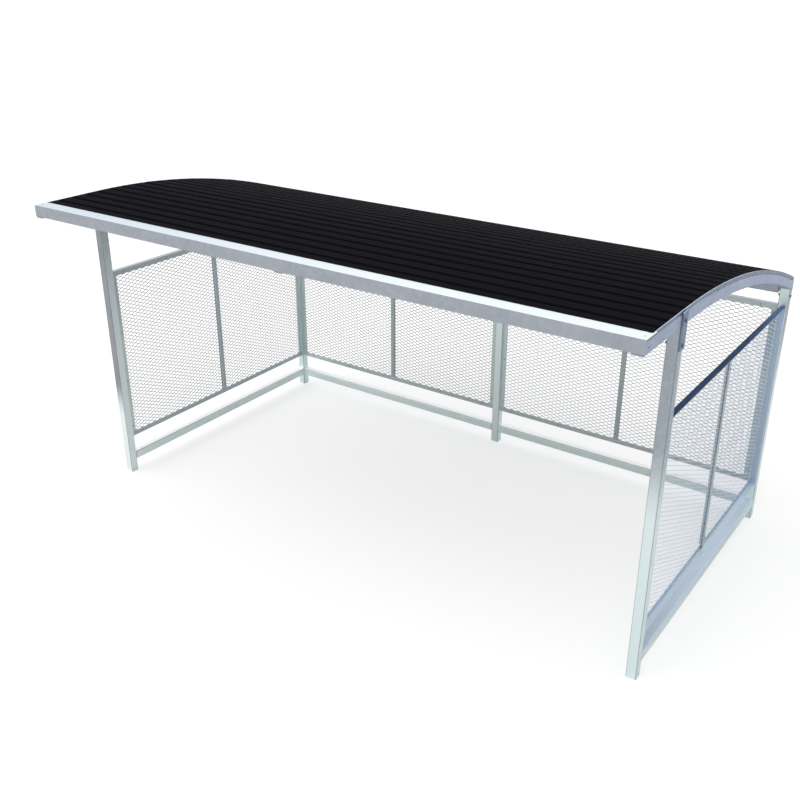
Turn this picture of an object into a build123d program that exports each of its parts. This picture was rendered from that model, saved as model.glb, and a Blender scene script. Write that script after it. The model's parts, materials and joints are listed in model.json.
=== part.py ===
"""Open bike shelter: square tube frame, mesh panels on three sides and a ribbed roof on rolled arches."""

from build123d import *
import math
import os

# Driving dimensions in mm. X runs along the length, Y from front to back, Z up from the ground.

# Layout of the posts
BAY_LENGTH = 2000.0
DEPTH = 2000.0
FRONT_OVERHANG = 428.0
FRONT_POST_HEIGHT = 2020.0

# Square tube of the posts, arches and bottom rails
TUBE = 60.0
TUBE_WALL = 3.0
TUBE_CORNER = 7.0

# Rolled roof arches: level over the front posts, then one bend down to the back
ARCH_RADIUS = 5420.0

# Ribbed roof sheet, with its ribs along the length
SHEET_THICKNESS = 1.0
RIB_HEIGHT = 20.0
RIB_PITCH = 102.0
GROOVE_WIDTH = 34.0
GROOVE_FLOOR = 18.0
FIRST_GROOVE = 60.0
SHEET_COUNT = 3
SHEET_CLEARANCE = 0.3

# Bar on edge that closes the ends of the roof sheet
VERGE_THICKNESS = 4.0
VERGE_SETBACK = 3.0

# Folded front fascia
FASCIA_SHEET = 2.0
FASCIA_HEIGHT = 72.0
FASCIA_END = 3.0
FASCIA_LIP = 93.0
FASCIA_LAP = 25.0
FASCIA_FOOT = 50.0
FASCIA_NOTCH_GAP = 4.0

# Eave beams between the rear posts
EAVE_HEIGHT = 70.0
EAVE_DROP = 25.0
EAVE_END_GAP = 12.0
CLEAT_RECESS = 15.0
CLEAT_HEIGHT = 36.0

# Bottom rails
RAIL_BOTTOM = 90.0

# Mesh panels
PANEL_BOTTOM = 272.0
PANEL_TOP = 1541.0
PANEL_CLEARANCE = 0.3
PANEL_SETBACK = 7.0
ANGLE_LEG = 35.0
ANGLE_THICKNESS = 3.0
MESH_DEPTH = 5.0
MULLION_WIDTH = 30.0
INNER_BAR = 12.0
OUTER_BAR = 5.0

# Plates over the joints of the front posts, and the bolts of the four corner posts
PLATE_THICKNESS = 8.0
PLATE_RISE = 44.0
PLATE_EDGE = 22.0
PLATE_CORNER = 12.0
FRONT_BOLT_PITCH = 122.0
REAR_BOLT_DROP = 40.0
BOLT_DIAMETER = 10.0
BOLT_HOLE = 11.0
BOLT_HEAD = 6.4
NUT_HEIGHT = 8.4
NUT_ACROSS_FLATS = 17.0
BOLT_END = 5.0
UPPER_BOLT_LENGTH = 25.0

# Places worked out from the sizes above, with Y = 0 half way from the fascia to the rear posts
HALF_LENGTH = BAY_LENGTH + TUBE / 2
TOTAL_DEPTH = FRONT_OVERHANG + DEPTH + TUBE
FRONT_Y = -TOTAL_DEPTH / 2
REAR_Y = TOTAL_DEPTH / 2
FRONT_POST_Y = FRONT_Y + FRONT_OVERHANG + TUBE / 2
REAR_POST_Y = FRONT_POST_Y + DEPTH
BEND_Y = FRONT_POST_Y + TUBE / 2
BEND_Z = FRONT_POST_HEIGHT + TUBE - ARCH_RADIUS
LIP_TOP = FRONT_POST_HEIGHT + TUBE + RIB_HEIGHT
SHEET_FRONT_Y = FRONT_Y + FASCIA_LIP
LIP_END_Y = SHEET_FRONT_Y + FASCIA_LAP
FASCIA_BOTTOM = LIP_TOP - FASCIA_HEIGHT
MESH_INNER = ANGLE_THICKNESS
MESH_OUTER = MESH_INNER + MESH_DEPTH
PANEL_HEIGHT = PANEL_TOP - PANEL_BOTTOM
RAIL_CENTRE = RAIL_BOTTOM + TUBE / 2


def roof_z(radius, y):
    """Height of the roof curve of the given radius at y."""
    if y <= BEND_Y:
        return BEND_Z + radius
    return BEND_Z + math.sqrt(radius**2 - (y - BEND_Y) ** 2)


def side_face(outline):
    """Face in the YZ plane inside a closed outline of edges."""
    return Plane.YZ * make_face(outline)


def roof_band(inner, outer, front, rear):
    """Outline between two radii of the roof curve, cut upright at the front and rear."""
    middle = (BEND_Y + rear) / 2

    def corner(radius, y):
        return (y, roof_z(radius, y))

    def bend(radius):
        return ThreePointArc(corner(radius, BEND_Y), corner(radius, middle), corner(radius, rear))

    lower = Line(corner(inner, front), corner(inner, BEND_Y)) + bend(inner)
    upper = Line(corner(outer, front), corner(outer, BEND_Y)) + bend(outer)
    front_end = Line(corner(inner, front), corner(outer, front))
    rear_end = Line(corner(inner, rear), corner(outer, rear))
    return lower + rear_end + upper + front_end


def tube_section():
    """Section of the square tube."""
    inside = TUBE - 2 * TUBE_WALL
    return RectangleRounded(TUBE, TUBE, TUBE_CORNER) - RectangleRounded(
        inside, inside, TUBE_CORNER - TUBE_WALL
    )


def upright(x, y, height):
    """Square tube that stands on the ground."""
    return Pos(x, y, 0) * extrude(tube_section(), amount=height)


def cross_bolt_hole(x, y, z):
    """Hole along X through both walls of a tube at x."""
    return Pos(x, y, z) * Rot(0, 90, 0) * Cylinder(BOLT_HOLE / 2, 2 * TUBE)


# Heights that hang from the roof curve at the posts
FRONT_UPPER_BOLT_Z = FRONT_POST_HEIGHT + TUBE / 2
FRONT_LOWER_BOLT_Z = FRONT_UPPER_BOLT_Z - FRONT_BOLT_PITCH
REAR_BOLT_Z = roof_z(ARCH_RADIUS - TUBE, REAR_POST_Y) - REAR_BOLT_DROP
EAVE_BOTTOM = roof_z(ARCH_RADIUS - TUBE, REAR_POST_Y) - EAVE_DROP


def front_post(x):
    """Front post, cut square under the level run of the arch."""
    post = upright(x, FRONT_POST_Y, FRONT_POST_HEIGHT)
    return post - cross_bolt_hole(x, FRONT_POST_Y, FRONT_LOWER_BOLT_Z)


def rear_post(x, bolted):
    """Rear post, its top cut to the underside of the arch."""
    tall = roof_z(ARCH_RADIUS, BEND_Y)
    post = upright(x, REAR_POST_Y, tall)
    above = roof_band(ARCH_RADIUS - TUBE, ARCH_RADIUS + TUBE, FRONT_Y, REAR_Y + TUBE)
    post -= Pos(x, 0, 0) * extrude(side_face(above), amount=TUBE, both=True)
    post = keep_largest(post)
    if bolted:
        post -= cross_bolt_hole(x, REAR_POST_Y, REAR_BOLT_Z)
    return post


def keep_largest(shape):
    """The largest solid of a shape, once what was cut off is dropped."""
    return max(shape.solids(), key=lambda solid: solid.volume)


def roof_arch(x, bolted):
    """Rolled tube from the fascia to the rear face of the rear post."""
    centre = ARCH_RADIUS - TUBE / 2
    front = FRONT_Y + FASCIA_SHEET
    past = REAR_Y + TUBE
    middle = (BEND_Y + past) / 2
    path = Line((x, front, roof_z(centre, front)), (x, BEND_Y, roof_z(centre, BEND_Y)))
    path += ThreePointArc(
        (x, BEND_Y, roof_z(centre, BEND_Y)),
        (x, middle, roof_z(centre, middle)),
        (x, past, roof_z(centre, past)),
    )
    start = Plane(origin=path @ 0, x_dir=(1, 0, 0), z_dir=(0, 1, 0))
    arch = sweep(start * tube_section(), path=path)
    arch = keep_largest(split(arch, bisect_by=Plane.XZ.offset(-REAR_Y), keep=Keep.BOTH))
    if bolted:
        outer_half = x + math.copysign(TUBE, x)
        arch -= cross_bolt_hole(outer_half, FRONT_POST_Y, FRONT_UPPER_BOLT_Z)
    return arch


def verge_bar(side):
    """Flat bar rolled on edge along an outer arch, lowered where it runs under the fascia's lip."""
    top = ARCH_RADIUS + RIB_HEIGHT + SHEET_THICKNESS
    front = FRONT_Y + FASCIA_SHEET
    bar = extrude(side_face(roof_band(ARCH_RADIUS, top, front, REAR_Y)), amount=VERGE_THICKNESS)
    notch = Box(
        3 * VERGE_THICKNESS,
        LIP_END_Y - front + FASCIA_SHEET,
        2 * (SHEET_THICKNESS + FASCIA_SHEET),
        align=(Align.CENTER, Align.MAX, Align.CENTER),
    )
    bar -= Pos(0, LIP_END_Y, BEND_Z + top) * notch
    outer = HALF_LENGTH - VERGE_SETBACK
    inner = outer - VERGE_THICKNESS
    return Pos(inner if side > 0 else -outer, 0, 0) * bar


def rib_line():
    """Corners of the sheet's underside as (run along the roof, height), from front to rear."""
    flank = (GROOVE_WIDTH - GROOVE_FLOOR) / 2
    run = BEND_Y - SHEET_FRONT_Y + ARCH_RADIUS * math.asin((REAR_Y - BEND_Y) / ARCH_RADIUS)
    count = int((run - FIRST_GROOVE - flank - GROOVE_FLOOR) // RIB_PITCH) + 1
    corners = [(0.0, RIB_HEIGHT)]
    for index in range(count):
        start = FIRST_GROOVE + index * RIB_PITCH
        corners += [
            (start, RIB_HEIGHT),
            (start + flank, 0.0),
            (start + flank + GROOVE_FLOOR, 0.0),
            (start + GROOVE_WIDTH, RIB_HEIGHT),
        ]
    return corners[:-1]


def on_roof(run, height):
    """Point (y, z) at a run along the arches' top face and a height square to it."""
    level = BEND_Y - SHEET_FRONT_Y
    angle = max(run - level, 0.0) / ARCH_RADIUS
    y = SHEET_FRONT_Y + min(run, level)
    radius = ARCH_RADIUS + height
    return Vector(y + radius * math.sin(angle), BEND_Z + radius * math.cos(angle))


def mitres(points):
    """Step from each corner of an open line to the same corner of a line one mm above it."""
    normals = []
    for first, second in zip(points, points[1:]):
        along = (second - first).normalized()
        normals.append(Vector(-along.Y, along.X))
    pairs = zip([normals[0]] + normals, normals + [normals[-1]])
    return [(before + after) / (1 + before.dot(after)) for before, after in pairs]


def roof_sheets():
    """Ribbed sheets from front to rear, each lapped over the first crown of the next one."""
    corners = rib_line()
    points = [on_roof(*corner) for corner in corners]
    steps = mitres(points)
    grooves = len(corners) // 4
    starts = [4 * round(grooves * index / SHEET_COUNT) for index in range(SHEET_COUNT)]
    half = HALF_LENGTH - VERGE_SETBACK - VERGE_THICKNESS - SHEET_CLEARANCE
    sheets = []
    for index, start in enumerate(starts):
        lap = starts[index + 1] if index + 1 < SHEET_COUNT else len(points)
        end = min(lap + 2, len(points))
        under = []
        over = []
        for corner in range(start, end):
            lift = SHEET_CLEARANCE + (SHEET_THICKNESS if corner >= lap else 0.0)
            low = points[corner] + steps[corner] * lift
            high = points[corner] + steps[corner] * (lift + SHEET_THICKNESS)
            under.append((low.X, low.Y))
            over.append((high.X, high.Y))
        outline = Polyline(*under, *reversed(over), close=True)
        sheets.append(extrude(side_face(outline), amount=half, both=True))
    return sheets


def fascia():
    """Folded channel along the front: top lip under the roof sheet, foot notched round the arches."""
    top = LIP_TOP
    foot = FASCIA_BOTTOM + FASCIA_SHEET
    front = FRONT_Y
    outline = Polyline(
        (LIP_END_Y, top),
        (front, top),
        (front, FASCIA_BOTTOM),
        (front + FASCIA_FOOT, FASCIA_BOTTOM),
        (front + FASCIA_FOOT, foot),
        (front + FASCIA_SHEET, foot),
        (front + FASCIA_SHEET, top - FASCIA_SHEET),
        (LIP_END_Y, top - FASCIA_SHEET),
        close=True,
    )
    folds = extrude(side_face(outline), amount=HALF_LENGTH + FASCIA_END, both=True)
    outer = folds.edges().filter_by(Axis.X).group_by(Axis.Y)[0]
    folds = fillet(outer, radius=FASCIA_SHEET * 0.75)
    notch = Box(
        TUBE + 2 * FASCIA_NOTCH_GAP,
        FASCIA_FOOT,
        3 * FASCIA_SHEET,
        align=(Align.CENTER, Align.MIN, Align.CENTER),
    )
    for x in (-BAY_LENGTH, 0, BAY_LENGTH):
        folds -= Pos(x, front + FASCIA_SHEET, foot - FASCIA_SHEET / 2) * notch
    return folds


def rail(length):
    """Level square tube along X, centred on the origin."""
    return Rot(0, 90, 0) * extrude(tube_section(), amount=length / 2, both=True)


def eave_beam(x):
    """Rectangular tube between two rear posts, on cleats set back from its faces."""
    length = BAY_LENGTH - TUBE - 2 * EAVE_END_GAP
    inside = (EAVE_HEIGHT - 2 * TUBE_WALL, TUBE - 2 * TUBE_WALL)
    section = RectangleRounded(EAVE_HEIGHT, TUBE, TUBE_CORNER)
    section -= RectangleRounded(*inside, TUBE_CORNER - TUBE_WALL)
    beam = Rot(0, 90, 0) * extrude(section, amount=length / 2, both=True)
    for side in (-1, 1):
        cleat = Box(EAVE_END_GAP, TUBE - 2 * CLEAT_RECESS, CLEAT_HEIGHT)
        plug = Box(EAVE_END_GAP, inside[1], inside[0])
        beam += Pos(side * (length + EAVE_END_GAP) / 2, 0, 0) * cleat
        beam += Pos(side * (length - EAVE_END_GAP) / 2, 0, 0) * plug
    return Pos(x, REAR_POST_Y, EAVE_BOTTOM + EAVE_HEIGHT / 2) * beam


def panel_frame(width):
    """Ring of angle: flat leg on the inside, second leg outwards round the rim."""
    rim = 2 * ANGLE_THICKNESS
    flat = 2 * ANGLE_LEG
    low = (Align.CENTER, Align.MIN, Align.CENTER)
    ring = Box(width, ANGLE_LEG, PANEL_HEIGHT, align=low)
    tray = Box(width - rim, ANGLE_LEG, PANEL_HEIGHT - rim, align=low)
    ring -= Pos(0, ANGLE_THICKNESS, 0) * tray
    return ring - Box(width - flat, 2 * ANGLE_LEG, PANEL_HEIGHT - flat)


def panel_mesh(width):
    """Plain sheet as deep as the expanded metal, inside the rim and on the flat leg."""
    rim = 2 * (ANGLE_THICKNESS + PANEL_CLEARANCE)
    low = (Align.CENTER, Align.MIN, Align.CENTER)
    return Pos(0, MESH_INNER, 0) * Box(width - rim, MESH_DEPTH, PANEL_HEIGHT - rim, align=low)


def panel_mullion():
    """Two flat bars that clamp the mesh between them in the middle of a panel."""
    low = (Align.CENTER, Align.MIN, Align.CENTER)
    inner_height = PANEL_HEIGHT - 2 * ANGLE_LEG
    outer_height = PANEL_HEIGHT - 2 * (ANGLE_THICKNESS + PANEL_CLEARANCE)
    inner = Box(MULLION_WIDTH, INNER_BAR, inner_height, align=low)
    outer = Box(MULLION_WIDTH, OUTER_BAR, outer_height, align=low)
    return [Pos(0, MESH_INNER - INNER_BAR, 0) * inner, Pos(0, MESH_OUTER, 0) * outer]


def post_plate(side):
    """Plate with rounded upper corners over the joint of a front post and its arch."""
    top = FRONT_UPPER_BOLT_Z + PLATE_RISE
    bottom = FRONT_LOWER_BOLT_Z - PLATE_EDGE
    plate = Pos(0, 0, (top + bottom) / 2) * Box(PLATE_THICKNESS, TUBE, top - bottom)
    plate = fillet(plate.edges().filter_by(Axis.X).group_by(Axis.Z)[-1], radius=PLATE_CORNER)
    for z in (FRONT_UPPER_BOLT_Z, FRONT_LOWER_BOLT_Z):
        plate -= cross_bolt_hole(0, 0, z)
    return Pos(side * (HALF_LENGTH + PLATE_THICKNESS / 2), FRONT_POST_Y, 0) * plate


def hexagon(height):
    """Hexagon head or nut along +X from the origin."""
    outline = RegularPolygon(NUT_ACROSS_FLATS / 2, side_count=6, major_radius=False)
    return Rot(0, 90, 0) * extrude(outline, amount=height)


def bolt(length, nut_at=None):
    """Bolt along X: its head rests at X = 0, its shank runs to -X, its nut rests at -nut_at."""
    shank = Rot(0, -90, 0) * extrude(Circle(BOLT_DIAMETER / 2), amount=length)
    body = hexagon(BOLT_HEAD) + shank
    if nut_at is not None:
        body += Pos(-nut_at - NUT_HEIGHT, 0, 0) * hexagon(NUT_HEIGHT)
    return body


def post_bolts():
    """Two bolts on each front plate, one into the arch, and one through each rear corner post."""
    plated = PLATE_THICKNESS + TUBE
    upper = bolt(PLATE_THICKNESS + UPPER_BOLT_LENGTH)
    lower = bolt(plated + NUT_HEIGHT + BOLT_END, nut_at=plated)
    rear = bolt(TUBE + NUT_HEIGHT + BOLT_END, nut_at=TUBE)
    outer = HALF_LENGTH + PLATE_THICKNESS
    placed = []
    for side, turn in ((1, Rot(0, 0, 0)), (-1, Rot(0, 0, 180))):
        placed.append(Pos(side * outer, FRONT_POST_Y, FRONT_UPPER_BOLT_Z) * turn * upper)
        placed.append(Pos(side * outer, FRONT_POST_Y, FRONT_LOWER_BOLT_Z) * turn * lower)
        placed.append(Pos(side * HALF_LENGTH, REAR_POST_Y, REAR_BOLT_Z) * turn * rear)
    return placed


def save(name, shape):
    """Write one sub-part. A list of solids that don't touch becomes one compound."""
    if isinstance(shape, list):
        shape = Compound(children=shape)
    export_step(shape, f"parts/{name}.step")


def main():
    os.makedirs("parts", exist_ok=True)

    corner_x = BAY_LENGTH
    for side, sign in (("left", -1), ("right", 1)):
        x = sign * corner_x
        save(f"front_{side}_post", front_post(x))
        save(f"rear_{side}_post", rear_post(x, True))
        save(f"{side}_roof_arch", roof_arch(x, True))
        save(f"{side}_verge_bar", verge_bar(sign))
        save(f"front_{side}_post_plate", post_plate(sign))
        save(f"rear_{side}_eave_beam", eave_beam(sign * BAY_LENGTH / 2))
    save("rear_middle_post", rear_post(0, False))
    save("middle_roof_arch", roof_arch(0, False))
    save("post_bolts", post_bolts())
    save("front_fascia", fascia())

    for name, sheet in zip(("front", "middle", "rear"), roof_sheets()):
        save(f"{name}_roof_sheet", sheet)

    # Each place has the inner face's point in the middle of a panel and the turn of its outside
    inwards = ANGLE_LEG + PANEL_SETBACK
    inset = HALF_LENGTH - inwards
    side_y = (FRONT_POST_Y + REAR_POST_Y) / 2
    middle_z = (PANEL_BOTTOM + PANEL_TOP) / 2
    places = {
        "left": (Location((-inset, side_y, middle_z), (0, 0, 90)), DEPTH),
        "right": (Location((inset, side_y, middle_z), (0, 0, -90)), DEPTH),
        "rear_left": (Pos(-BAY_LENGTH / 2, REAR_Y - inwards, middle_z), BAY_LENGTH),
        "rear_right": (Pos(BAY_LENGTH / 2, REAR_Y - inwards, middle_z), BAY_LENGTH),
    }
    for name, (place, pitch) in places.items():
        gap = pitch - TUBE
        width = gap - 2 * PANEL_CLEARANCE
        save(f"{name}_panel_frame", place * panel_frame(width))
        save(f"{name}_mesh_panel", place * panel_mesh(width))
        save(f"{name}_panel_mullion", [place * bar for bar in panel_mullion()])
        to_rail = Pos(0, inwards - TUBE / 2, RAIL_CENTRE - middle_z)
        save(f"{name}_bottom_rail", place * to_rail * rail(gap))


main()
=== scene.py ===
"""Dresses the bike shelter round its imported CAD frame.

The CAD nodes get galvanised finishes and a black coated roof, true expanded metal stands in for the plain sheets of
the panels, and screws, weld beads and arch inserts are added. Lengths are in metres.
"""

import json
import logging
import math
from dataclasses import dataclass, field
from enum import Enum

import bpy
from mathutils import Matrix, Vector

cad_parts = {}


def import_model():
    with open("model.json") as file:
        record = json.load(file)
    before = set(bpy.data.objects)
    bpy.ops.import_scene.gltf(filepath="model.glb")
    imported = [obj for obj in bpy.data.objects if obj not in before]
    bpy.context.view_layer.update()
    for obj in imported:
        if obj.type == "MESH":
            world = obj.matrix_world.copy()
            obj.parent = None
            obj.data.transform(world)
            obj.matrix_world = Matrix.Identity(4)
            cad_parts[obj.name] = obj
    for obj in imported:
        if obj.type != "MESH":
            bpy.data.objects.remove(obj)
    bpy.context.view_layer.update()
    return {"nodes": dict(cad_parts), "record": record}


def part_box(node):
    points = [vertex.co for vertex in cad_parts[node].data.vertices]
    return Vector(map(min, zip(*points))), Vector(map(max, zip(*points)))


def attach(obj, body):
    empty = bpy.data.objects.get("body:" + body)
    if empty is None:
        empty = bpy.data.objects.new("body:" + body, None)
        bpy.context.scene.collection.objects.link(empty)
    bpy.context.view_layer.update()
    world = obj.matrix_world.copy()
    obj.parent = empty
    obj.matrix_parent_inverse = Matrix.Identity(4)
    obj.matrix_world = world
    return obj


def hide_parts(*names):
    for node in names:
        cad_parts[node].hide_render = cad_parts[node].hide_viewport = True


LOG = logging.getLogger("bike_shelter")
MM = 0.001

# Vertices nearer than this grow together where copies in a row touch
TOUCH = 0.01 * MM
# A face looks along an axis when its normal has at least this much of it
SQUARE_ON = 0.99

# Settings that several nodes share. The Mix node repeats the names of its sockets, so they go by number.
SMOOTH = {"interpolation_type": "SMOOTHSTEP"}
NUMBERS = {"data_type": "FLOAT"}
COLOURS = {"data_type": "RGBA"}
FACTOR, NUMBER_A, NUMBER_B, COLOUR_A, COLOUR_B = 0, 2, 3, 6, 7
MIXED_NUMBER, MIXED_COLOUR = 0, 2

# Where the parts of a face's normal count it as looking to the front, looking up, or lying on a rolled corner
FRONT_FROM, FRONT_FULL = -0.4, -0.7
UP_FROM, UP_FULL = 0.55, 0.95
CORNER_FROM, CORNER_FULL, CORNER_SHARE = 0.3, 0.45, 0.7

# The way from each panel into the shelter
INWARD = {
    "left": Vector((1, 0, 0)),
    "right": Vector((-1, 0, 0)),
    "rear_left": Vector((0, -1, 0)),
    "rear_right": Vector((0, -1, 0)),
}

# A colour in linear light, or the socket that gives one
Colour = bpy.types.NodeSocket | tuple[float, float, float, float]


# Small tools for colours, nodes and hand modelling


def linear(code: str) -> tuple[float, float, float, float]:
    """Turns an sRGB hex colour into linear light.

    Args:
        code: Colour such as "#a0a5aa".

    Returns:
        Linear red, green and blue, with an alpha of 1.
    """
    levels = [int(code[i : i + 2], 16) / 255 for i in (1, 3, 5)]
    red, green, blue = (v / 12.92 if v <= 0.04045 else ((v + 0.055) / 1.055) ** 2.4 for v in levels)
    return red, green, blue, 1.0


def add_node(
    tree: bpy.types.NodeTree,
    kind: str,
    settings: dict[str, object] | None = None,
    inputs: dict[str | int, object] | None = None,
) -> bpy.types.Node:
    """Adds a node with its settings, and sets or links its inputs.

    Args:
        tree: Node tree that gets the node.
        kind: Blender's name for the node's type.
        settings: Attributes of the node.
        inputs: Values or output sockets by the name or number of the input.

    Returns:
        The new node.
    """
    node = tree.nodes.new(kind)
    for name, value in (settings or {}).items():
        setattr(node, name, value)
    for name, value in (inputs or {}).items():
        if isinstance(value, bpy.types.NodeSocket):
            tree.links.new(value, node.inputs[name])
        else:
            node.inputs[name].default_value = value
    return node


def new_material(name: str) -> tuple[bpy.types.Material, bpy.types.NodeTree]:
    """Makes an empty node material.

    Args:
        name: Name of the material.

    Returns:
        The material and its node tree.
    """
    material = bpy.data.materials.new(name)
    material.use_nodes = True
    material.node_tree.nodes.clear()
    return material, material.node_tree


def deselect_all() -> None:
    """Leaves edit mode and selects nothing."""
    if bpy.context.object and bpy.context.object.mode != "OBJECT":
        bpy.ops.object.mode_set(mode="OBJECT")
    bpy.ops.object.select_all(action="DESELECT")


def select_only(obj: bpy.types.Object) -> None:
    """Makes one object the only selected and the active one.

    Args:
        obj: Object to select.
    """
    deselect_all()
    obj.select_set(True)
    bpy.context.view_layer.objects.active = obj


def settle(obj: bpy.types.Object) -> None:
    """Moves an object's place, turn and scale into its mesh."""
    select_only(obj)
    bpy.ops.object.transform_apply(location=True, rotation=True, scale=True)


def copy_piece(obj: bpy.types.Object, name: str) -> bpy.types.Object:
    """Copies an object together with its mesh.

    Args:
        obj: Object to copy.
        name: Name of the copy.

    Returns:
        The copy, linked to the scene.
    """
    copy = obj.copy()
    copy.data = obj.data.copy()
    copy.name = name
    bpy.context.scene.collection.objects.link(copy)
    return copy


def join_pieces(pieces: list[bpy.types.Object], name: str) -> bpy.types.Object:
    """Joins objects into one.

    Args:
        pieces: Objects to join; the first one keeps its data.
        name: Name of the joined object.

    Returns:
        The joined object.
    """
    deselect_all()
    for piece in pieces:
        piece.select_set(True)
    bpy.context.view_layer.objects.active = pieces[0]
    bpy.ops.object.join()
    joined = bpy.context.object
    joined.name = name
    return joined


def array_along(obj: bpy.types.Object, count: int, step: Vector, merge: bool) -> None:
    """Repeats a mesh along a step with an applied Array modifier.

    Args:
        obj: Object to repeat.
        count: Number of copies in the row.
        step: Offset from one copy to the next, in metres.
        merge: Whether touching ends grow together.
    """
    select_only(obj)
    array = obj.modifiers.new("row", "ARRAY")
    array.count = count
    array.use_relative_offset = False
    array.use_constant_offset = True
    array.constant_offset_displace = step
    array.use_merge_vertices = merge
    array.merge_threshold = TOUCH
    bpy.ops.object.modifier_apply(modifier=array.name)


def cut_away(obj: bpy.types.Object, point: Vector, outward: Vector) -> None:
    """Cuts off what lies past a plane and closes the cut.

    Args:
        obj: Object to cut.
        point: A point on the plane.
        outward: Normal of the plane, towards the part that goes.
    """
    select_only(obj)
    bpy.ops.object.mode_set(mode="EDIT")
    bpy.ops.mesh.select_all(action="SELECT")
    bpy.ops.mesh.bisect(plane_co=point, plane_no=outward, use_fill=True, clear_outer=True)
    bpy.ops.object.mode_set(mode="OBJECT")


def dress(obj: bpy.types.Object, material: bpy.types.Material) -> None:
    """Gives an object one material all over."""
    obj.data.materials.clear()
    obj.data.materials.append(material)


# Finishes


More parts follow.
